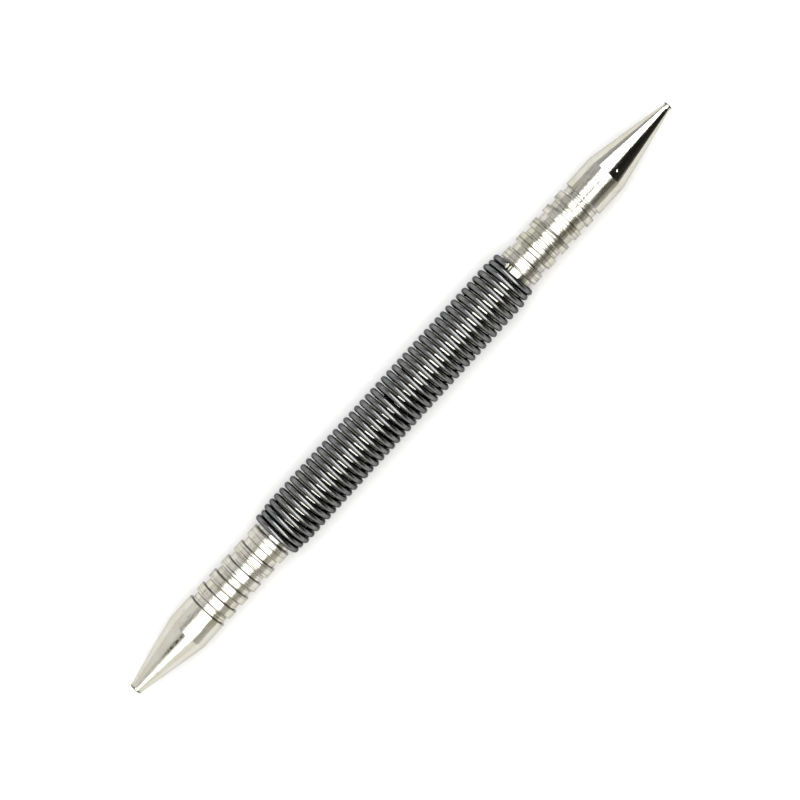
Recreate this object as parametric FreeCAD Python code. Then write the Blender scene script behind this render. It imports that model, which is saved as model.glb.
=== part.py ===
import FreeCAD, Part
import math
import os

# Spring-driven double-ended punch: two turned steel punches butt nose to nose inside one extension spring.
# Pulling one punch away from the other stretches the spring; letting go snaps the noses together.
#
# Frame, in millimetres: the tool lies on its side with its axis along X and the small tip at +X.
# +Z is up. The origin is under the middle of the tool's length, on the surface that the spring rests on.

# Both punches
BARREL_R = 3.97             # 5/16 inch bar
GROOVE_W = 1.57
GROOVE_DEPTH = 0.50
LANDS = (2.14, 1.96, 1.79, 1.60, 1.66)     # between the grooves, from the spring seat towards the tip
NECK_R = 3.40               # the spring's end coils lie on the neck
NECK_L = 3.90
SHANK_R = 3.75              # wider than the end coils' bore, so the neck can't pull out of them
NOSE_R = 2.93
NOSE_L = 5.65
NOSE_CHAMFER = 0.45
STEP_CHAMFER = 0.25         # on the shank's edge at the nose
EDGE_BREAK = 0.06
TIP_ROUND = 0.12            # round edge of the tip's face
TIP_ARCS = 4                # straight steps in that round edge

# What differs between the punches. All lengths are from the tip's face.
LARGE = {
    "tip_r": 1.20,
    "tip_l": 0.45,          # the straight stretch at the tip
    "cone_end": 13.64,
    "grip_start": 19.08,    # the first grip groove
    "relief": 0.26,         # how far each groove's spring-side wall slopes
    "length": 68.18,        # to the striking face
}
SMALL = {
    "tip_r": 0.82,
    "tip_l": 0.80,
    "cone_end": 16.19,
    "grip_start": 22.23,
    "relief": 0.08,
    "length": 71.52,
}

# Spring: a right-hand helix of round wire
WIRE_R = 0.57
COIL_R = 4.48               # to the middle of the wire
PITCH = 1.405
OPEN_TURNS = 38             # turns at the full pitch
SPRING_START = 1.10         # from the large punch's seat shoulder to the wire's middle at turn 0
LARGE_END_PITCHES = (1.23, 1.18, 1.31, 1.35)
SMALL_END_PITCHES = (1.50, 1.17, 1.21)
FIRST_TURN = -0.30          # the wire's hidden end
LAST_CUT = 64.0             # degrees past the last whole turn, where the wire's other end is cut

# The end coils are wound smaller, to grip the necks: (turn, coil radius) from the first whole turn at the
# large end, and (turns before the last whole turn, coil radius) at the small end.
LARGE_END_RADII = ((-1.0, 4.29), (0.2, 4.27), (1.0, 4.17), (1.4, 4.20), (2.1, 4.46), (2.6, COIL_R))
SMALL_END_RADII = ((2.1, COIL_R), (1.5, 4.16), (-1.0, 4.16))

END_TILT = 0.21             # how far the first coils lean back to lie square to the axis
TILT_FADE = (1.5, 5.5)      # the lean fades out between these turns
END_OFFSET = 0.08           # how far the small end's coils sit off the axis, towards +Y
OFFSET_FADE = (2.2, 1.5)    # it grows between these turns before the last whole one

ARCS_PER_TURN = 12          # cubic arcs in the wire's middle line
RATE_STEP = 1e-4            # turns, for the middle line's direction

TOTAL_L = LARGE["length"] + SMALL["length"]
AXIS_Z = COIL_R + WIRE_R


def grip_length():
    return sum(LANDS) + GROOVE_W * len(LANDS)


def lathe(points):
    """Turn a closed outline of (distance from the tip, radius) corners about the axis."""
    corners = [FreeCAD.Vector(x, 0, r) for x, r in points]
    corners.append(corners[0])
    face = Part.Face(Part.makePolygon(corners))
    return face.revolve(FreeCAD.Vector(0, 0, 0), FreeCAD.Vector(1, 0, 0), 360)


def tip_points(punch):
    """Face, rounded edge, straight stretch and cone of the working tip."""
    centre_r = punch["tip_r"] - TIP_ROUND
    points = [(0, 0)]
    for step in range(TIP_ARCS + 1):
        turn = math.pi / 2 * step / TIP_ARCS
        points.append((TIP_ROUND * (1 - math.cos(turn)), centre_r + TIP_ROUND * math.sin(turn)))
    points.append((punch["tip_l"], punch["tip_r"]))
    points.append((punch["cone_end"], BARREL_R))
    return points


def grip_points(start, relief):
    """Grip grooves and the lands between them, from the plain barrel to the spring seat shoulder."""
    points = []
    floor_r = BARREL_R - GROOVE_DEPTH
    x = start
    for land in reversed(LANDS):
        points.append((x - EDGE_BREAK, BARREL_R))
        points.append((x, BARREL_R - EDGE_BREAK))
        points.append((x, floor_r))
        x += GROOVE_W
        points.append((x - relief, floor_r))
        points.append((x, BARREL_R - EDGE_BREAK))
        points.append((x + EDGE_BREAK, BARREL_R))
        x += land
    points.append((x - EDGE_BREAK, BARREL_R))
    points.append((x, BARREL_R - EDGE_BREAK))
    return points


def inner_points(seat, length):
    """Neck, shank and striking nose, which the spring covers."""
    shank_start = seat + NECK_L
    nose_start = length - NOSE_L
    return [
        (seat, NECK_R),
        (shank_start, NECK_R),
        (shank_start, SHANK_R - EDGE_BREAK),
        (shank_start + EDGE_BREAK, SHANK_R),
        (nose_start - STEP_CHAMFER, SHANK_R),
        (nose_start, SHANK_R - STEP_CHAMFER),
        (nose_start, NOSE_R),
        (length - NOSE_CHAMFER, NOSE_R),
        (length, NOSE_R - NOSE_CHAMFER),
        (length, 0),
    ]


def punch_solid(punch):
    """A punch with its tip's face at X = 0, pointing along -X."""
    seat = punch["grip_start"] + grip_length()
    grip = grip_points(punch["grip_start"], punch["relief"])
    return lathe(tip_points(punch) + grip + inner_points(seat, punch["length"]))


def large_punch():
    solid = punch_solid(LARGE)
    solid.translate(FreeCAD.Vector(-TOTAL_L / 2, 0, AXIS_Z))
    return solid


def small_punch():
    solid = punch_solid(SMALL)
    solid.rotate(FreeCAD.Vector(0, 0, 0), FreeCAD.Vector(0, 0, 1), 180)
    solid.translate(FreeCAD.Vector(TOTAL_L / 2, 0, AXIS_Z))
    return solid


def axial_knots():
    """(turn, distance from the seat shoulder) of the wire's middle, one knot at each change of pitch."""
    knots = [(-1.0, SPRING_START - LARGE_END_PITCHES[0]), (0.0, SPRING_START)]
    for pitch in LARGE_END_PITCHES + (PITCH,):
        knots.append((knots[-1][0] + 1, knots[-1][1] + pitch))
    knots.append((knots[-1][0] + OPEN_TURNS - 2, knots[-1][1] + PITCH * (OPEN_TURNS - 2)))
    for pitch in (PITCH,) + SMALL_END_PITCHES + (SMALL_END_PITCHES[-1],):
        knots.append((knots[-1][0] + 1, knots[-1][1] + pitch))
    return knots


def last_turn():
    return len(LARGE_END_PITCHES) + OPEN_TURNS + len(SMALL_END_PITCHES)


def radius_knots():
    """(turn, coil radius) along the whole spring."""
    return list(LARGE_END_RADII) + [(last_turn() - before, radius) for before, radius in SMALL_END_RADII]


def smooth(knots, turn):
    """A smooth curve through knots, straight where they are in line."""
    slopes = [(b[1] - a[1]) / (b[0] - a[0]) for a, b in zip(knots, knots[1:])]
    for i in range(len(knots) - 1):
        if turn <= knots[i + 1][0] or i == len(knots) - 2:
            break
    before = slopes[max(i - 1, 0)]
    after = slopes[min(i + 1, len(slopes) - 1)]
    width = knots[i + 1][0] - knots[i][0]
    t = (turn - knots[i][0]) / width
    m0 = limited_mean(before, slopes[i]) * width
    m1 = limited_mean(slopes[i], after) * width
    y0 = knots[i][1]
    y1 = knots[i + 1][1]
    return (
        y0 * (2 * t ** 3 - 3 * t ** 2 + 1)
        + m0 * (t ** 3 - 2 * t ** 2 + t)
        + y1 * (3 * t ** 2 - 2 * t ** 3)
        + m1 * (t ** 3 - t ** 2)
    )


def limited_mean(a, b):
    """The harmonic mean of two slopes of one sign, otherwise 0, so a curve never overshoots its knots."""
    if a * b <= 0:
        return 0.0
    return 2 * a * b / (a + b)


def fade(value, low, high):
    """0 below low, 1 above high, smooth between."""
    t = min(max((value - low) / (high - low), 0), 1)
    return t * t * (3 - 2 * t)


def wire_point(turn):
    """The wire's middle at a turn count, with turn 0 at the +Y side."""
    angle = 2 * math.pi * turn
    radius = smooth(radius_knots(), turn)
    lean = END_TILT * (1 - fade(turn, *TILT_FADE))
    seat = LARGE["grip_start"] + grip_length() - TOTAL_L / 2
    x = seat + smooth(axial_knots(), turn) + lean * math.cos(angle)
    offset = END_OFFSET * fade(turn, last_turn() - OFFSET_FADE[0], last_turn() - OFFSET_FADE[1])
    return FreeCAD.Vector(x, offset + radius * math.cos(angle), AXIS_Z + radius * math.sin(angle))


def wire_rate(turn):
    """How the wire's middle moves per turn."""
    return (wire_point(turn + RATE_STEP) - wire_point(turn - RATE_STEP)) * (0.5 / RATE_STEP)


def wire_edge(start, end):
    """The middle line of the wire between two turn counts, as cubic arcs that join smoothly."""
    count = math.ceil((end - start) * ARCS_PER_TURN)
    width = (end - start) / count
    turns = [start + width * i for i in range(count + 1)]
    poles = [wire_point(start)]
    for turn in turns:
        middle = wire_point(turn)
        reach = wire_rate(turn) * (width / 3)
        if turn > start:
            poles.append(middle - reach)
        if turn < turns[-1]:
            poles.append(middle + reach)
    poles.append(wire_point(end))
    curve = Part.BSplineCurve()
    curve.buildFromPolesMultsKnots(poles, [4] + [2] * (count - 1) + [4], turns, False, 3)
    return curve.toShape()


def coil_spring():
    end = last_turn() + LAST_CUT / 360
    stops = [FIRST_TURN] + list(range(1, last_turn())) + [end]
    edges = [wire_edge(a, b) for a, b in zip(stops, stops[1:])]
    section = Part.Wire(Part.makeCircle(WIRE_R, wire_point(FIRST_TURN), wire_rate(FIRST_TURN)))
    sweep = Part.BRepOffsetAPI.MakePipeShell(Part.Wire(edges))
    sweep.setBiNormalMode(FreeCAD.Vector(1, 0, 0))
    sweep.add(section)
    sweep.build()
    sweep.makeSolid()
    solid = Part.Solid(sweep.shape())
    length = sum(edge.Length for edge in edges)
    print("wire length %.1f mm" % length)
    print("volume over section times length %.4f" % (solid.Volume / (math.pi * WIRE_R ** 2 * length)))
    return solid


def write(name, solid):
    if not solid.isValid():
        raise ValueError(name + " is not a valid solid")
    solid.exportStep("parts/" + name + ".step")
    print("%s %.1f mm3" % (name, solid.Volume))


os.makedirs("parts", exist_ok=True)
write("large_punch", large_punch())
write("small_punch", small_punch())
write("coil_spring", coil_spring())
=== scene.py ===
import math

import bpy
import numpy as np
from mathutils import Matrix, Vector


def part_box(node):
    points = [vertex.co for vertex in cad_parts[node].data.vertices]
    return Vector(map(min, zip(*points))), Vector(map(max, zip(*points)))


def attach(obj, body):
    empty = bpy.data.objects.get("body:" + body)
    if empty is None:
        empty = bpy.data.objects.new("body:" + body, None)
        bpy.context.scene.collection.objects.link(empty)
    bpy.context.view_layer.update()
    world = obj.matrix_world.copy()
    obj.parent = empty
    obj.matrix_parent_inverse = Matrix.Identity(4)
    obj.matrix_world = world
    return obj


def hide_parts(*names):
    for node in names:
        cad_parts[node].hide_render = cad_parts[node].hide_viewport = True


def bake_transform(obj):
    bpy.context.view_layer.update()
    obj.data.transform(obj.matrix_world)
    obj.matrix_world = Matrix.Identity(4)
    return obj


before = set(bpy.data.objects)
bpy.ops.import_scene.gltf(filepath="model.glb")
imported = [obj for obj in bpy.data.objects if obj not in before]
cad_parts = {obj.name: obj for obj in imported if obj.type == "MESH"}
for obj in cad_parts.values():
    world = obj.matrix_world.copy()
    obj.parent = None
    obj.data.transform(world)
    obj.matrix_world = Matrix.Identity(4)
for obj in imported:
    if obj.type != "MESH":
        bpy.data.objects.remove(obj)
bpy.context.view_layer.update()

# Spring-driven double-ended punch. Two turned, nickel-plated punches and the spring that joins them are built
# here as finer meshes than the CAD nodes that they replace, to the same dimensions. Lengths are in metres.
MM = 0.001

# Where things are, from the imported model
LARGE_TIP_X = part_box("large_punch")[0].x
FACES_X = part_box("large_punch")[1].x
SMALL_TIP_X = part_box("small_punch")[1].x

# Both punches
BARREL_R = 3.97 * MM
GROOVE_W = 1.57 * MM
GROOVE_DEPTH = 0.50 * MM
LANDS = tuple(land * MM for land in (2.14, 1.96, 1.79, 1.60, 1.66))
NECK_R = 3.40 * MM
NECK_L = 3.90 * MM
SHANK_R = 3.75 * MM
NOSE_R = 2.93 * MM
NOSE_L = 5.65 * MM
NOSE_CHAMFER = 0.45 * MM
STEP_CHAMFER = 0.25 * MM
EDGE_R = 0.05 * MM           # on the lands' edges
SOFT_R = 0.03 * MM           # in the grooves' corners
TIP_ROUND = 0.12 * MM
CONE_START_R = SOFT_R * 4    # where the straight stretch at the tip meets the cone
SHOULDER_R = 0.3 * MM        # where the cone runs into the barrel
LARGE = {"tip_r": 1.20 * MM, "tip_l": 0.45 * MM, "cone_end": 13.64 * MM, "grip_start": 19.08 * MM,
         "relief": 0.26 * MM}
SMALL = {"tip_r": 0.82 * MM, "tip_l": 0.80 * MM, "cone_end": 16.19 * MM, "grip_start": 22.23 * MM,
         "relief": 0.08 * MM}
LATHE_STEPS = 192
ARC_STEPS = 4                # in each rounding
GUARD = 0.02 * MM            # a loop this far from each rounding keeps the shading of flats flat
GUARD_ROOM = 3 * GUARD       # a flat shorter than this needs no such loop
STRAIGHT = 1e-6              # a corner that turns less than this, in radians, stays one point
SETBACK_SHARE = 0.4          # of the flat on either side, the most that a rounding takes

# Spring
WIRE_R = 0.57 * MM
COIL_R = 4.48 * MM
AXIS_Z = COIL_R + WIRE_R     # the spring lies on the table
PITCH = 1.405 * MM
SPRING_START = 1.10 * MM     # from the large punch's seat shoulder to the wire's middle at turn 0
LARGE_END_PITCHES = tuple(pitch * MM for pitch in (1.23, 1.18, 1.31, 1.35))
SMALL_END_PITCHES = tuple(pitch * MM for pitch in (1.50, 1.17, 1.21))
OPEN_TURNS = 38              # turns at the full pitch
FIRST_TURN = -0.30           # the wire's hidden end
LAST_CUT = 64.0              # degrees past the last whole turn, where the wire's other end is cut
# The end coils are wound smaller, to grip the necks: (turn, coil radius) at the large end, and (turns before
# the last whole one, coil radius) at the small end
LARGE_END_RADII = ((-1.0, 4.29 * MM), (0.2, 4.27 * MM), (1.0, 4.17 * MM), (1.4, 4.20 * MM), (2.1, 4.46 * MM),
                   (2.6, COIL_R))
SMALL_END_RADII = ((2.1, COIL_R), (1.5, 4.16 * MM), (-1.0, 4.16 * MM))
END_TILT = 0.21 * MM         # how far the first coils lean back to lie square to the axis
TILT_FADE = (1.5, 5.5)       # the lean fades out between these turns
END_OFFSET = 0.08 * MM       # how far the small end's coils sit off the axis, towards +Y
OFFSET_FADE = (2.2, 1.5)     # it grows between these turns before the last whole one
GRIPPED_TURNS = 1.6          # at each end, which take none of the draw
LOOSENING_TURNS = 0.8        # next to them, over which the share of the draw grows to the full one
SHARE_STEPS = 4000           # along the whole wire, to add up those shares
RATE_STEP = 1e-4             # turns, for the middle line's direction
WIRE_STEPS = 24              # around the wire
TURN_STEPS = 90              # along each turn
CUT_EDGE = 0.05 * MM         # worn off the edge of each cut

# A small dent in the small punch's cone
DENT = (54.85 * MM, -1.02 * MM, 8.62 * MM)
DENT_SIZE = (0.54 * MM, 0.40 * MM, 0.40 * MM)    # half sizes
DENT_DEPTH = 0.10 * MM
DENT_LOOPS = 6               # mesh loops on each side of its middle, the last of them past its edge

# What differs between the finishes of the two punches
LARGE_LOOK = {
    "cone_roughness": 0.17,
    "ripple": 2.6,           # height of the plate's waviness
    "corner_shade_amount": 1.0,          # amount of dirt and painted shade in the grooves' corners
    "mark_level": 0.52,      # of the noise, above which there is a mark
    "patch_middle": (-58.6 * MM, 0.22 * MM, 8.6 * MM),       # of a dark, grainy patch on the cone
    "patch_size": (4.4 * MM, 0.42 * MM),                     # half sizes
}
SMALL_LOOK = {
    "cone_roughness": 0.09,
    "ripple": 1.4,
    "corner_shade_amount": 0.8,
    "mark_level": 0.48,
    "patch_middle": (48.4 * MM, -0.08 * MM, 9.0 * MM),       # of a painted reflection of the camera: a thin dark line along the barrel's top
    "patch_size": (6.8 * MM, 0.32 * MM),
}

# Noise patterns: repeats in a metre, all round or along x, y and z, then detail and roughness
FINE_RINGS = ((9000, 120, 120), 3.0, 0.5)            # turning marks
RINGS = ((3200, 90, 90), 3.0, 0.6)                   # coarser ones, in the grip
SCUFFS = ((500, 5200, 5200), 3.0, 0.6)               # thin lines along the bar
RIPPLES = ((1500, 3000, 3000), 4.0, 0.6)
PLATE_CLOUDS = (260.0, 4.0, 0.5)
PLATE_GRAIN = (4200.0, 3.0, 0.5)
WIRE_CLOUDS = (600.0, 3.0, 0.5)
WIRE_GRAIN = (5200.0, 4.0, 0.65)
SHEAR_STREAKS = ((6000, 1200, 1200), 3.0, 0.5)
PAPER_FIBRES = (900.0, 4.0, 0.5)

# Fades: from, to, value there, value there
MARK_SHADE_ON_TOP = (0.88, 0.97, 0.6, 0.97)               # by how squarely the surface faces up: the stronger marks on top are painted shade over the highlight
# painted shade under the spring, by how squarely the surface faces up
SPRING_SHADE_ON_TOP = (0.88, 0.96, 0.76, 0.4)
SCUFF_GRAIN = (0.42, 0.56, 0.3, 1)                   # by the grain
PATCH_GRAIN = (0.38, 0.50, 0, 0.96)
PATCH_EDGE = (0.4, 1.0, 1, 0)                        # by the share of the patch's half size
WORN_TIP = (0.10 * MM, 0.42 * MM, 0.85, 0)           # by the distance from the tip's face
CORNER_SHADE_UP_WALL = (BARREL_R - 0.42 * MM, BARREL_R - 0.2 * MM, 1, 0.65)      # by the distance from the axis
PLATE_ROUGHNESS = (0.3, 0.7, 0.13, 0.20)             # by the clouds
RINGS_ROUGHNESS = (0.35, 0.65, 0.02, 0.10)           # added in the grip, by the rings
WIRE_ROUGHNESS = (0.3, 0.7, 0.17, 0.30)              # by the grain
WIRE_FLANK_SHADE = (0.5, 0.95, 1, 0)                       # by how squarely the surface faces away from the axis

# Other parts of the finishes
ZONE_EDGE = 0.1 * MM         # over which one part's finish gives way to the next
HIDDEN_FADE = (0.2 * MM, 1.2 * MM)                   # past the seat shoulder, under the spring
HIDDEN_GLOSS = 0.04          # less roughness there
HIDDEN_RIPPLE = 0.3
CORNER_DIRT_AND_SHADE = (0.10 * MM, 0.19 * MM)                 # from a groove's wall: full, none
SEAT_DIRT_AND_SHADE = 1.9              # times as wide at the seat shoulder
CORNER_SHADE_GRAIN = (0.35, 0.55)    # of the grain, between which the corner's dirt and painted shade get denser
THIN_CORNER_SHADE = 0.75
MARK_FADE = 0.13             # of the noise, from no mark to a full one
SCUFF_LEVELS = (0.09, 0.19)  # above the level of marks: none, strongest
SCUFF_STRENGTH = 0.8
CONE_SHELTER = 0.6           # the share of scuffs that the cone is spared
FINE_HEIGHT = 0.15           # in the bump, of the fine rings and of the grain
RINGS_HEIGHT = 0.9
BUMP_STRENGTH = 0.6
PLATE_BUMP = 0.014 * MM
WIRE_BUMP = 0.006 * MM
SHEAR_BUMP = 0.01 * MM
WIRE_CLOUD_SHARE = 0.4       # in the wire's shade, the rest being grain

# Colours
PLATE_TINTS = ((0.30, (0.51, 0.50, 0.40)), (0.50, (0.56, 0.545, 0.48)), (0.72, (0.58, 0.57, 0.53)))
PLATE_GRAZING = (0.70, 0.69, 0.66, 1)
# dark colour of dirt and wear, also used for painted shade and a painted reflection
DIRT_AND_SHADE_COLOUR = (0.03, 0.028, 0.022, 1)
WIRE_SHADES = ((0.34, (0.105, 0.11, 0.107)), (0.5, (0.165, 0.17, 0.168)), (0.66, (0.225, 0.23, 0.23)))
# black oxide, also painted shade on the wire's flanks between the turns
WIRE_OXIDE_AND_SHADE = (0.045, 0.046, 0.047, 1)
WIRE_GRAZING = (0.38, 0.38, 0.38, 1)
SHEARED = ((0.35, (0.45, 0.44, 0.42)), (0.65, (0.75, 0.74, 0.71)))
PAPER = ((0.3, (0.72, 0.72, 0.72)), (0.7, (0.74, 0.74, 0.74)))

# Photographic set
VIEW_ANGLE = 47.63           # how far the tool's axis is turned in the picture, in degrees
VIEW_WIDTH = 141.2 * MM      # of the picture, at the tool's axis
CAMERA_HEIGHT = 582 * MM
CAMERA_X = 20.7 * MM         # the camera stands over the small end's half
AIM = Vector((-0.30 * MM, -0.10 * MM, AXIS_Z))       # the middle of the picture
BOX_HEIGHT = 1.5             # of the softbox
BOX_MIDDLE = (0.03, 0.35)    # right and up in the picture, as shares of its height
BOX_SIZE = (0.76, 3.13)      # across and along, as shares of its height
BOX_TURN = 8.0               # off square to the picture, in degrees
BOX_RADIANCE = 4.4
FLOOR_HALF = 4.0             # half its side
SENSOR_WIDTH = 36            # millimetres
CLIP_START = 0.01

# The room, by the direction looked in. Its two long walls are ramps from -X, the large tip's side, to +X.
ROOM_RADIANCE = 1.1
FAR_WALL = ((0.30, (0.98, 0.97, 0.95)), (0.44, (1.05, 1.04, 1.03)), (0.53, (0.56, 0.56, 0.57)),
            (0.69, (0.56, 0.56, 0.58)), (0.73, (0.08, 0.08, 0.08)), (0.90, (0.02, 0.02, 0.02)))
NEAR_WALL = ((0.30, (1.08, 1.06, 0.98)), (0.41, (0.68, 0.66, 0.58)), (0.45, (0.38, 0.37, 0.32)),
             (0.53, (0.13, 0.125, 0.11)), (0.60, (0.032, 0.031, 0.029)))
WALL_CHANGE = (-0.15, 0.15, 0, 1)                    # by y, from the near wall to the far one
# A low pale strip on the near side, lower towards +X
STRIP_COLOUR = (0.58, 0.565, 0.51, 1)
STRIP_SLANT = 0.6
STRIP_TOP = (0.33, 0.46, 1, 0)                       # by z and the slant
STRIP_DEPTH = (-0.6, -0.3, 1, 0)                     # by y
STRIP_START = (-0.30, -0.2, 0, 1)                    # by x
STRIP_DIMMING = (0.1, 0.4, 0.9, 0.25)                # by x
# The dim ceiling is lower towards +X.
CEILING_SLANT = 0.25
CEILING = (0.607, 0.747, 1, 0.5)
# A pale band low on the far side
GLOW_COLOUR = (0.75, 0.75, 0.74, 1)
GLOW_TOP = (0.0, 0.16, 0.35, 0)                      # by z


# ---------------------------------------------------------------- meshes

def new_object(name, data):
    obj = bpy.data.objects.new(name, data)
    bpy.context.scene.collection.objects.link(obj)
    return obj


def mesh_object(name, vertices, faces, materials):
    mesh = bpy.data.meshes.new(name)
    mesh.from_pydata([tuple(v) for v in vertices], [], faces)
    mesh.validate()
    mesh.shade_smooth()
    for material in materials:
        mesh.materials.append(material)
    return new_object(name, mesh)


def rounded(corners):
    """Outline points from (distance, radius, rounding) corners, with an arc and its guard loops at each."""
    points = [np.array(corners[0][:2])]
    for before, corner, after in zip(corners, corners[1:], corners[2:]):
        here = np.array(corner[:2])
        back = here - np.array(before[:2])
        ahead = np.array(after[:2]) - here
        back_l = np.hypot(*back)
        ahead_l = np.hypot(*ahead)
        back /= back_l
        ahead /= ahead_l
        turn = math.atan2(back[0] * ahead[1] - back[1] * ahead[0], back @ ahead)
        if corner[2] == 0 or abs(turn) < STRAIGHT:
            points.append(here)
            continue
        half_tan = math.tan(abs(turn) / 2)
        setback = min(corner[2] * half_tan, SETBACK_SHARE * back_l, SETBACK_SHARE * ahead_l)
        radius = setback / half_tan
        normal = np.array((-back[1], back[0])) * math.copysign(1, turn)
        start = here - back * setback
        centre = start + normal * radius
        arm = start - centre
        if back_l - setback > GUARD_ROOM:
            points.append(start - back * GUARD)
        for step in range(ARC_STEPS + 1):
            a = turn * step / ARC_STEPS
            points.append(centre + np.array((
                arm[0] * math.cos(a) - arm[1] * math.sin(a),
                arm[0] * math.sin(a) + arm[1] * math.cos(a))))
        if ahead_l - setback > GUARD_ROOM:
            points.append(here + ahead * (setback + GUARD))
    points.append(np.array(corners[-1][:2]))
    return points


def dented(vertex):
    """A point of a punch, pushed towards the tool's axis where it lies in the dent."""
    share = math.hypot(*((v - d) / size for v, d, size in zip(vertex, DENT, DENT_SIZE)))
    if share >= 1:
        return vertex
    inward = Vector((0, -vertex[1], AXIS_Z - vertex[2])).normalized()
    return Vector(vertex) + inward * (DENT_DEPTH * (1 - share ** 2) ** 2)


def lathe(name, corners, tip_x, direction, material):
    """Turn an outline, which starts and ends on the axis, about the tool's axis."""
    points = rounded(corners)
    angles = np.linspace(0, 2 * math.pi, LATHE_STEPS, endpoint=False)
    vertices = [(tip_x + direction * points[0][0], 0, AXIS_Z)]
    for x, r in points[1:-1]:
        for a in angles:
            vertices.append((tip_x + direction * x, direction * r * math.cos(a), AXIS_Z + r * math.sin(a)))
    vertices.append((tip_x + direction * points[-1][0], 0, AXIS_Z))
    rings = len(points) - 2
    faces = []
    for j in range(LATHE_STEPS):
        k = (j + 1) % LATHE_STEPS
        faces.append((0, 1 + k, 1 + j))
        for i in range(rings - 1):
            a = 1 + i * LATHE_STEPS
            b = a + LATHE_STEPS
            faces.append((a + k, b + k, b + j, a + j))
        last = 1 + (rings - 1) * LATHE_STEPS
        faces.append((last + k, len(vertices) - 1, last + j))
    return mesh_object(name, [dented(vertex) for vertex in vertices], faces, [material])


def dent_corners(punch):
    """Loops along the cone under the dent, on a punch that has it."""
    if punch is not SMALL:
        return []
    middle = SMALL_TIP_X - DENT[0]
    slope = (BARREL_R - punch["tip_r"]) / (punch["cone_end"] - punch["tip_l"])
    corners = []
    for step in range(-DENT_LOOPS, DENT_LOOPS + 1):
        x = middle + DENT_SIZE[0] * step / (DENT_LOOPS - 1)
        corners.append((x, punch["tip_r"] + slope * (x - punch["tip_l"]), 0))
    return corners


def punch_corners(punch, length):
    """A punch's outline from the tip's face to the striking face."""
    floor_r = BARREL_R - GROOVE_DEPTH
    corners = [
        (0, 0, 0),
        (0, punch["tip_r"], TIP_ROUND),
        (punch["tip_l"], punch["tip_r"], CONE_START_R),
        *dent_corners(punch),
        (punch["cone_end"], BARREL_R, SHOULDER_R),
    ]
    x = punch["grip_start"]
    for land in reversed(LANDS):
        corners.append((x, BARREL_R, EDGE_R))
        corners.append((x, floor_r, SOFT_R))
        x += GROOVE_W
        corners.append((x - punch["relief"], floor_r, SOFT_R))
        corners.append((x, BARREL_R, EDGE_R))
        x += land
    shank = x + NECK_L
    nose = length - NOSE_L
    corners += [
        (x, BARREL_R, EDGE_R),
        (x, NECK_R, SOFT_R),
        (shank, NECK_R, SOFT_R),
        (shank, SHANK_R, EDGE_R),
        (nose - STEP_CHAMFER, SHANK_R, SOFT_R),
        (nose, SHANK_R - STEP_CHAMFER, SOFT_R),
        (nose, NOSE_R, SOFT_R),
        (length - NOSE_CHAMFER, NOSE_R, SOFT_R),
        (length, NOSE_R - NOSE_CHAMFER, SOFT_R),
        (length, 0, 0),
    ]
    return corners


def fade(value, low, high):
    """0 below low, 1 above high, smooth between."""
    t = np.clip((value - low) / (high - low), 0, 1)
    return t * t * (3 - 2 * t)


def last_turn():
    return len(LARGE_END_PITCHES) + OPEN_TURNS + len(SMALL_END_PITCHES)


def axial_knots():
    """(turn, distance from the seat shoulder) of the wire's middle, one knot at each change of pitch."""
    knots = [(-1.0, SPRING_START - LARGE_END_PITCHES[0]), (0.0, SPRING_START)]
    for pitch in LARGE_END_PITCHES + (PITCH,):
        knots.append((knots[-1][0] + 1, knots[-1][1] + pitch))
    knots.append((knots[-1][0] + OPEN_TURNS - 2, knots[-1][1] + PITCH * (OPEN_TURNS - 2)))
    for pitch in (PITCH,) + SMALL_END_PITCHES + (SMALL_END_PITCHES[-1],):
        knots.append((knots[-1][0] + 1, knots[-1][1] + pitch))
    return knots


def radius_knots():
    """(turn, coil radius) along the whole spring."""
    return list(LARGE_END_RADII) + [(last_turn() - before, radius) for before, radius in SMALL_END_RADII]


def limited_mean(a, b):
    """The harmonic mean of two slopes of one sign, otherwise 0, so a curve never overshoots its knots."""
    if a * b <= 0:
        return 0.0
    return 2 * a * b / (a + b)


def smooth(knots, turns):
    """A smooth curve through knots, straight where they are in line, at an array of turn counts."""
    at = np.array([k[0] for k in knots])
    values = np.array([k[1] for k in knots])
    width = np.diff(at)
    slopes = np.diff(values) / width
    ends = [slopes[0]] + [limited_mean(a, b) for a, b in zip(slopes, slopes[1:])] + [slopes[-1]]
    ends = np.array(ends)
    i = np.clip(np.searchsorted(at, turns, side="left") - 1, 0, len(width) - 1)
    t = (turns - at[i]) / width[i]
    return (
        values[i] * (2 * t ** 3 - 3 * t ** 2 + 1)
        + ends[i] * width[i] * (t ** 3 - 2 * t ** 2 + t)
        + values[i + 1] * (3 * t ** 2 - 2 * t ** 3)
        + ends[i + 1] * width[i] * (t ** 3 - t ** 2)
    )


def wire_middle(turns):
    """The wire's middle line at an array of turn counts, with turn 0 at the +Y side."""
    angle = 2 * math.pi * turns
    radius = smooth(radius_knots(), turns)
    lean = END_TILT * (1 - fade(turns, *TILT_FADE))
    seat = LARGE_TIP_X + seat_shoulder(LARGE)
    offset = END_OFFSET * fade(turns, last_turn() - OFFSET_FADE[0], last_turn() - OFFSET_FADE[1])
    return np.stack([
        seat + smooth(axial_knots(), turns) + lean * np.cos(angle),
        offset + radius * np.cos(angle),
        AXIS_Z + radius * np.sin(angle),
    ], axis=1)


def unit(vectors):
    return vectors / np.linalg.norm(vectors, axis=1, keepdims=True)


def stretch_share(turns):
    """How much of the draw each part of the wire takes: none on the gripped end coils, equal on the rest."""
    start = GRIPPED_TURNS
    end = last_turn() - GRIPPED_TURNS
    grid = np.linspace(turns[0], turns[-1], SHARE_STEPS)
    rate = fade(grid, start, start + LOOSENING_TURNS) * (1 - fade(grid, end - LOOSENING_TURNS, end))
    share = np.cumsum(rate)
    return np.interp(turns, grid, share / share[-1])


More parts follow.
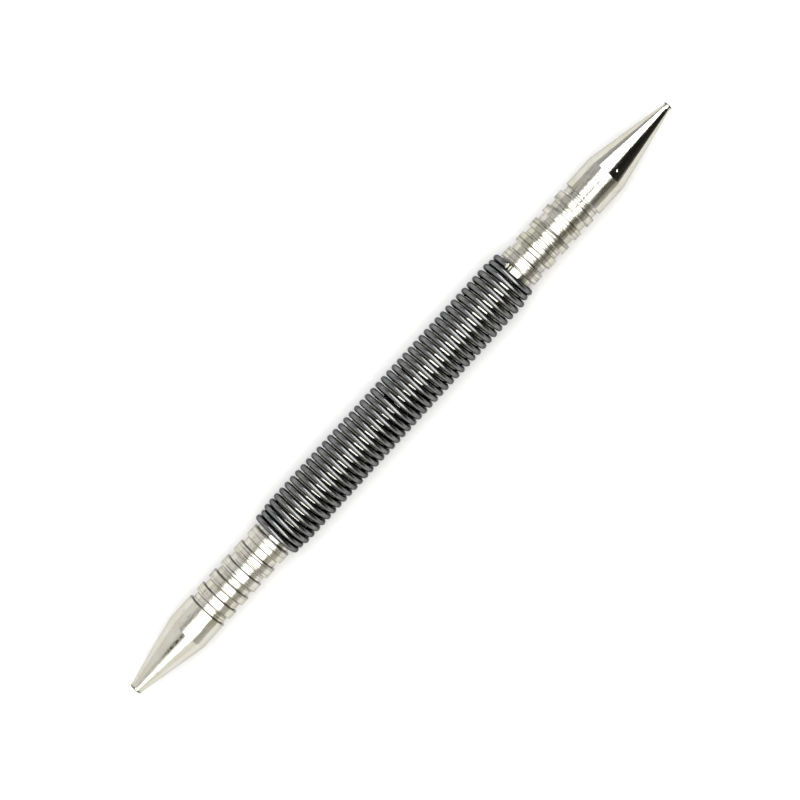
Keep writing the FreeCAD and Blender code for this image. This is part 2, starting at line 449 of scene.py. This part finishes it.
def spring(wire, cut):
    """The spring as one tube, with flat cut ends. Returns the object and each vertex's share of the draw."""
    end = last_turn() + LAST_CUT / 360
    count = int(round((end - FIRST_TURN) * TURN_STEPS))
    turns = np.linspace(FIRST_TURN, end, count + 1)
    middle = wire_middle(turns)
    along = unit(wire_middle(turns + RATE_STEP) - wire_middle(turns - RATE_STEP))
    outward = middle - np.array((0, 0, AXIS_Z))
    outward[:, 0] = 0
    outward = unit(outward - along * np.sum(outward * along, axis=1, keepdims=True))
    across = np.cross(along, outward)
    shares = stretch_share(turns)
    # A worn edge at each cut: the last ring is smaller, and the one before it stands just inside the end.
    middle = np.concatenate([middle[:1], middle[:1] + along[:1] * CUT_EDGE, middle[1:-1],
                             middle[-1:] - along[-1:] * CUT_EDGE, middle[-1:]])
    outward = np.concatenate([outward[:1], outward, outward[-1:]])
    across = np.concatenate([across[:1], across, across[-1:]])
    shares = np.concatenate([shares[:1], shares, shares[-1:]])
    radii = np.full(len(middle), WIRE_R)
    radii[[0, -1]] = WIRE_R - CUT_EDGE
    vertices = []
    ring_angles = np.linspace(0, 2 * math.pi, WIRE_STEPS, endpoint=False)
    for m, o, c, r in zip(middle, outward, across, radii):
        for a in ring_angles:
            vertices.append(m + o * (r * math.cos(a)) + c * (r * math.sin(a)))
    rings = len(middle)
    faces = []
    for i in range(rings - 1):
        a = i * WIRE_STEPS
        b = a + WIRE_STEPS
        for j in range(WIRE_STEPS):
            k = (j + 1) % WIRE_STEPS
            faces.append((a + j, a + k, b + k, b + j))
    last = (rings - 1) * WIRE_STEPS
    faces.append(tuple(reversed(range(WIRE_STEPS))))
    faces.append(tuple(last + j for j in range(WIRE_STEPS)))
    obj = mesh_object("wound_spring", vertices, faces, [wire, cut])
    for face in obj.data.polygons:
        if face.loop_total == WIRE_STEPS:        # a cut end
            face.material_index = 1
            face.use_smooth = False
    return obj, np.repeat(shares, WIRE_STEPS)


# ---------------------------------------------------------------- materials

class Nodes:
    """A short way to write a node tree."""

    def __init__(self, tree):
        self.tree = tree
        tree.nodes.clear()

    def add(self, kind, inputs=None, **settings):
        node = self.tree.nodes.new(kind)
        for key, value in settings.items():
            setattr(node, key, value)
        for key, value in (inputs or {}).items():
            if isinstance(value, bpy.types.NodeSocket):
                self.tree.links.new(value, node.inputs[key])
            else:
                node.inputs[key].default_value = value
        return node

    def math(self, operation, *values):
        """One maths node, or a row of them for more than two values."""
        result = self.add("ShaderNodeMath", dict(enumerate(values[:2])), operation=operation).outputs[0]
        for value in values[2:]:
            result = self.math(operation, result, value)
        return result

    def product(self, *values):
        return self.math("MULTIPLY", *values)

    def total(self, *values):
        return self.math("ADD", *values)

    def less(self, a, b):
        return self.math("SUBTRACT", a, b)

    def largest(self, *values):
        return self.math("MAXIMUM", *values)

    def vector(self, operation, *values):
        """The vector that a vector maths node gives, or its single value where that is what it gives."""
        node = self.add("ShaderNodeVectorMath", dict(enumerate(values)), operation=operation)
        single = operation in ("DISTANCE", "DOT_PRODUCT", "LENGTH")
        return node.outputs["Value" if single else "Vector"]

    def scaled(self, vector, scale):
        return self.vector("MULTIPLY", vector, scale)

    def place(self):
        return self.add("ShaderNodeTexCoord").outputs["Object"]

    def noise(self, place, pattern):
        """Noise from a pattern of (repeats in a metre, detail, roughness)."""
        repeats, detail, roughness = pattern
        if isinstance(repeats, tuple):
            place = self.scaled(place, repeats)
            repeats = 1.0
        inputs = {"Vector": place, "Scale": repeats, "Detail": detail, "Roughness": roughness}
        return self.add("ShaderNodeTexNoise", inputs).outputs["Fac"]

    def ramp(self, value, stops):
        node = self.add("ShaderNodeValToRGB", {"Fac": value})
        elements = node.color_ramp.elements
        while len(elements) < len(stops):
            elements.new(0.5)
        for element, (position, colour) in zip(elements, stops):
            element.position = position
            element.color = (*colour, 1)
        return node.outputs["Color"]

    def mixed_value(self, share, a, b):
        return self.total(a, self.product(share, self.less(b, a)))

    def mixed(self, share, a, b):
        node = self.add("ShaderNodeMix", data_type="RGBA")
        for key, value in (("Factor_Float", share), ("A_Color", a), ("B_Color", b)):
            socket = next(socket for socket in node.inputs if socket.identifier == key)
            if isinstance(value, bpy.types.NodeSocket):
                self.tree.links.new(value, socket)
            else:
                socket.default_value = value
        return next(socket for socket in node.outputs if socket.identifier == "Result_Color")

    def band(self, value, low, high, out_low, out_high):
        """A straight fade from out_low at low to out_high at high, level beyond both."""
        inputs = {"Value": value, "From Min": low, "From Max": high, "To Min": out_low, "To Max": out_high}
        return self.add("ShaderNodeMapRange", inputs).outputs["Result"]

    def bump(self, height, distance):
        inputs = {"Height": height, "Strength": BUMP_STRENGTH, "Distance": distance}
        return self.add("ShaderNodeBump", inputs).outputs[0]

    def surface(self, colour, roughness, **sockets):
        """The shader and the material's output. A further socket's name has _ for each space."""
        inputs = {"Base Color": colour, "Roughness": roughness}
        inputs.update({key.replace("_", " "): value for key, value in sockets.items()})
        shader = self.add("ShaderNodeBsdfPrincipled", inputs)
        self.add("ShaderNodeOutputMaterial", {"Surface": shader.outputs[0]})


def new_material(name):
    material = bpy.data.materials.new(name)
    material.use_nodes = True
    return material, Nodes(material.node_tree)


def seat_shoulder(punch):
    """Where the spring seats, from a punch's own tip."""
    return punch["grip_start"] + sum(LANDS) + GROOVE_W * len(LANDS)


def groove_walls(punch, direction):
    """Where the walls that face the small tip are, and the seat shoulder, from a punch's own tip."""
    x = punch["grip_start"]
    walls = []
    for land in reversed(LANDS):
        walls.append(x if direction > 0 else x + GROOVE_W)
        x += GROOVE_W + land
    walls.append(seat_shoulder(punch))
    return walls


def corner_dirt_and_shade(n, punch, direction, corner_shade_amount, from_tip, radius, grain):
    """Dark residue and painted shade in the grooves' corners, wider at the seat shoulder."""
    full, none = CORNER_DIRT_AND_SHADE
    corners = []
    for wall in groove_walls(punch, direction):
        width = corner_shade_amount * (SEAT_DIRT_AND_SHADE if wall == seat_shoulder(punch) else 1.0)
        distance = n.math("ABSOLUTE", n.less(from_tip, wall))
        corners.append(n.band(distance, width * full, width * none, 1, 0))
    density = n.band(grain, *CORNER_SHADE_GRAIN, THIN_CORNER_SHADE * corner_shade_amount, corner_shade_amount)
    # It is thickest at the bottom of each groove and thins out up the wall.
    return n.product(n.largest(*corners), density, n.band(radius, *CORNER_SHADE_UP_WALL))


def wear_and_painted_shade(n, look, place, grip, cone, hidden, facing_up, rings, grain):
    """Marks around the grip, darker on top as painted shade, scuffs from sliding in and out of holders, and
    one dark patch: grainy on the large cone, a painted reflection line on the small barrel.
    """
    level = look["mark_level"]
    # The marks are stronger on top, where the highlight lies: painted shade.
    marks = n.product(n.band(rings, level, level + MARK_FADE, 0, 1), grip, n.band(facing_up, *MARK_SHADE_ON_TOP))
    low, high = SCUFF_LEVELS
    scuffs = n.band(n.noise(place, SCUFFS), level + low, level + high, 0, SCUFF_STRENGTH)
    sheltered = n.largest(hidden, n.product(cone, CONE_SHELTER))
    scuffs = n.product(scuffs, n.band(grain, *SCUFF_GRAIN), n.less(1.0, sheltered))
    # On the small punch the patch is a thin dark line along the barrel's top, a painted reflection of the
    # camera.
    length, width = look["patch_size"]
    near = n.scaled(n.vector("SUBTRACT", place, look["patch_middle"]), (1 / length, 1 / width, 0))
    patch = n.product(n.band(n.vector("LENGTH", near), *PATCH_EDGE), n.band(grain, *PATCH_GRAIN))
    return n.largest(marks, scuffs, patch)


def plated_steel(name, punch, tip_x, direction, look):
    """Nickel plate over turned steel: mirror-like around the bar, blurred along it by fine turning marks.

    Dark residue and painted shade lie in the grooves' corners, and painted shade, lighter along its top, on
    the part that the spring hides.
    """
    material, n = new_material(name)
    place = n.place()
    x, _, z = n.add("ShaderNodeSeparateXYZ", {0: place}).outputs
    from_tip = n.product(n.less(x, tip_x), direction)
    radius = n.vector("DISTANCE", n.scaled(place, (0, 1, 1)), (0, 0, AXIS_Z))
    facing_up = n.math("DIVIDE", n.less(z, AXIS_Z), radius)
    grip_start = punch["grip_start"]
    cone_end = punch["cone_end"]
    seat = seat_shoulder(punch)
    grip = n.product(n.band(from_tip, grip_start - ZONE_EDGE, grip_start, 0, 1),
                     n.band(from_tip, seat, seat + ZONE_EDGE, 1, 0))
    hidden = n.band(from_tip, seat + HIDDEN_FADE[0], seat + HIDDEN_FADE[1], 0, 1)
    cone = n.band(from_tip, cone_end - ZONE_EDGE, cone_end + ZONE_EDGE, 1, 0)
    fine_rings = n.noise(place, FINE_RINGS)
    rings = n.noise(place, RINGS)
    clouds = n.noise(place, PLATE_CLOUDS)
    grain = n.noise(place, PLATE_GRAIN)

    # dirt and painted shade in the grooves' corners, widest at the seat shoulder
    corner = corner_dirt_and_shade(n, punch, direction, look["corner_shade_amount"], from_tip, radius, grain)
    marks = wear_and_painted_shade(n, look, place, grip, cone, hidden, facing_up, rings, grain)
    # Painted shade on the part that the spring hides, lighter along its top.
    spring_shade = n.product(hidden, n.band(facing_up, *SPRING_SHADE_ON_TOP))
    # dirt and wear, with painted shade in the corners, under the spring and on the marks' tops, and a painted
    # reflection line
    dirt_and_shade = n.largest(corner, marks, spring_shade, n.band(from_tip, *WORN_TIP))
    colour = n.mixed(dirt_and_shade, n.ramp(clouds, PLATE_TINTS), DIRT_AND_SHADE_COLOUR)

    roughness = n.mixed_value(cone, n.band(clouds, *PLATE_ROUGHNESS), look["cone_roughness"])
    roughness = n.total(roughness, n.product(grip, n.band(rings, *RINGS_ROUGHNESS)))
    roughness = n.less(roughness, n.product(hidden, HIDDEN_GLOSS))
    height = n.total(
        n.product(fine_rings, FINE_HEIGHT),
        n.product(grain, FINE_HEIGHT),
        n.product(rings, grip, RINGS_HEIGHT),
        n.product(n.noise(place, RIPPLES), n.band(hidden, 0, 1, look["ripple"], HIDDEN_RIPPLE)))
    tangent = n.add("ShaderNodeTangent", direction_type="RADIAL", axis="X").outputs[0]
    n.surface(colour, roughness, Metallic=1.0, Normal=n.bump(height, PLATE_BUMP), Specular_Tint=PLATE_GRAZING,
              Anisotropic=0.6, Anisotropic_Rotation=0.25, Tangent=tangent)
    return material


def spring_wire():
    """Oil-tempered wire: dark grey, satin, with a fine drawn grain."""
    material, n = new_material("oil_tempered_wire")
    place = n.place()
    grain = n.noise(place, WIRE_GRAIN)
    shade = n.total(n.product(n.noise(place, WIRE_CLOUDS), WIRE_CLOUD_SHARE),
                    n.product(grain, 1 - WIRE_CLOUD_SHARE))
    # Handling rubs the outside of each turn; the flanks and the inside keep their black oxide, which is also
    # painted shade between the turns.
    outward = n.vector("NORMALIZE", n.vector("SUBTRACT", n.scaled(place, (0, 1, 1)), (0, 0, AXIS_Z)))
    normal = n.add("ShaderNodeNewGeometry").outputs["Normal"]
    flank_shade = n.band(n.vector("DOT_PRODUCT", outward, normal), *WIRE_FLANK_SHADE)
    colour = n.mixed(flank_shade, n.ramp(shade, WIRE_SHADES), WIRE_OXIDE_AND_SHADE)
    n.surface(colour, n.band(grain, *WIRE_ROUGHNESS), Metallic=1.0, Normal=n.bump(grain, WIRE_BUMP),
              Specular_Tint=WIRE_GRAZING)
    return material


def cut_steel():
    """Bare steel where the wire was sheared."""
    material, n = new_material("sheared_steel")
    streaks = n.noise(n.place(), SHEAR_STREAKS)
    n.surface(n.ramp(streaks, SHEARED), roughness=0.35, Metallic=1.0, Normal=n.bump(streaks, SHEAR_BUMP))
    return material


def table_paper():
    """Smooth white sheet under the tool."""
    material, n = new_material("white_sheet")
    n.surface(n.ramp(n.noise(n.place(), PAPER_FIBRES), PAPER), roughness=0.8)
    return material


# ---------------------------------------------------------------- set

def picture_frame():
    """The directions on the table that are right and up in the picture."""
    a = math.radians(VIEW_ANGLE)
    right = Vector((math.cos(a), -math.sin(a), 0))
    up = Vector((math.sin(a), math.cos(a), 0))
    return right, up


def look(obj, place, target, up):
    """Put obj at place, with its -Z towards target and its +Y near up."""
    back = (place - target).normalized()
    side = up.cross(back).normalized()
    top = back.cross(side)
    turn = Matrix((side, top, back)).transposed()
    obj.matrix_world = Matrix.Translation(place) @ turn.to_4x4()


def make_camera():
    camera = bpy.data.cameras.new("camera")
    obj = new_object("camera", camera)
    place = Vector((CAMERA_X, 0, AXIS_Z + CAMERA_HEIGHT))
    look(obj, place, AIM, picture_frame()[1])
    camera.sensor_width = SENSOR_WIDTH
    camera.lens = camera.sensor_width * (place - AIM).length / VIEW_WIDTH
    camera.clip_start = CLIP_START
    bpy.context.scene.camera = obj


def softbox():
    """One long softbox overhead, a little off square to the picture."""
    right, up = picture_frame()
    turn = math.radians(BOX_TURN)
    long_way = up * math.cos(turn) - right * math.sin(turn)
    middle = (right * (BOX_MIDDLE[0] * BOX_HEIGHT) + up * (BOX_MIDDLE[1] * BOX_HEIGHT)
              + Vector((0, 0, BOX_HEIGHT)))
    light = bpy.data.lights.new("overhead_softbox", "AREA")
    light.shape = "RECTANGLE"
    light.size = BOX_SIZE[0] * BOX_HEIGHT
    light.size_y = BOX_SIZE[1] * BOX_HEIGHT
    # An area light of energy P and area A has radiance P / (pi A).
    light.energy = BOX_RADIANCE * math.pi * light.size * light.size_y
    obj = new_object("overhead_softbox", light)
    look(obj, middle, middle - Vector((0, 0, 1)), long_way)


def room():
    """Light from the room: pale walls on the large tip's side, dark on the other, dim overhead."""
    world = bpy.data.worlds.new("studio")
    bpy.context.scene.world = world
    world.use_nodes = True
    n = Nodes(world.node_tree)
    direction = n.add("ShaderNodeTexCoord").outputs["Generated"]
    x, y, z = n.add("ShaderNodeSeparateXYZ", {0: direction}).outputs
    along = n.band(x, -1, 1, 0, 1)
    far_side = n.band(y, *WALL_CHANGE)
    walls = n.mixed(far_side, n.ramp(along, NEAR_WALL), n.ramp(along, FAR_WALL))
    slanted = n.total(z, n.product(x, STRIP_SLANT))
    ends = n.product(n.band(x, *STRIP_START), n.band(x, *STRIP_DIMMING))
    strip = n.product(n.band(slanted, *STRIP_TOP), n.band(y, *STRIP_DEPTH), ends)
    walls = n.mixed(strip, walls, STRIP_COLOUR)
    glow = n.product(n.band(z, *GLOW_TOP), far_side)
    walls = n.mixed(glow, walls, GLOW_COLOUR)
    ceiling = n.band(n.total(z, n.product(x, CEILING_SLANT)), *CEILING)
    strength = n.product(ceiling, ROOM_RADIANCE)
    background = n.add("ShaderNodeBackground", {"Color": walls, "Strength": strength})
    n.add("ShaderNodeOutputWorld", {"Surface": background.outputs[0]})


def make_floor():
    half = FLOOR_HALF
    corners = [(-half, -half, 0), (half, -half, 0), (half, half, 0), (-half, half, 0)]
    floor = mesh_object("floor", corners, [(0, 1, 2, 3)], [table_paper()])


def make_tool():
    large_plate = plated_steel("nickel_plate_large", LARGE, LARGE_TIP_X, 1, LARGE_LOOK)
    small_plate = plated_steel("nickel_plate_small", SMALL, SMALL_TIP_X, -1, SMALL_LOOK)
    large_corners = punch_corners(LARGE, FACES_X - LARGE_TIP_X)
    small_corners = punch_corners(SMALL, SMALL_TIP_X - FACES_X)
    large = lathe("large_punch_turned", large_corners, LARGE_TIP_X, 1, large_plate)
    small = lathe("small_punch_turned", small_corners, SMALL_TIP_X, -1, small_plate)
    coil, weights = spring(spring_wire(), cut_steel())
    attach(large, "large_end")
    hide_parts("large_punch")
    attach(small, "small_end")
    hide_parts("small_punch")
    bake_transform(coil)
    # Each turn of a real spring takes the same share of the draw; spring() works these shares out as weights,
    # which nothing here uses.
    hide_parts("coil_spring")


make_camera()
softbox()
room()
make_floor()
make_tool()
bpy.context.scene.view_settings.view_transform = "Standard"
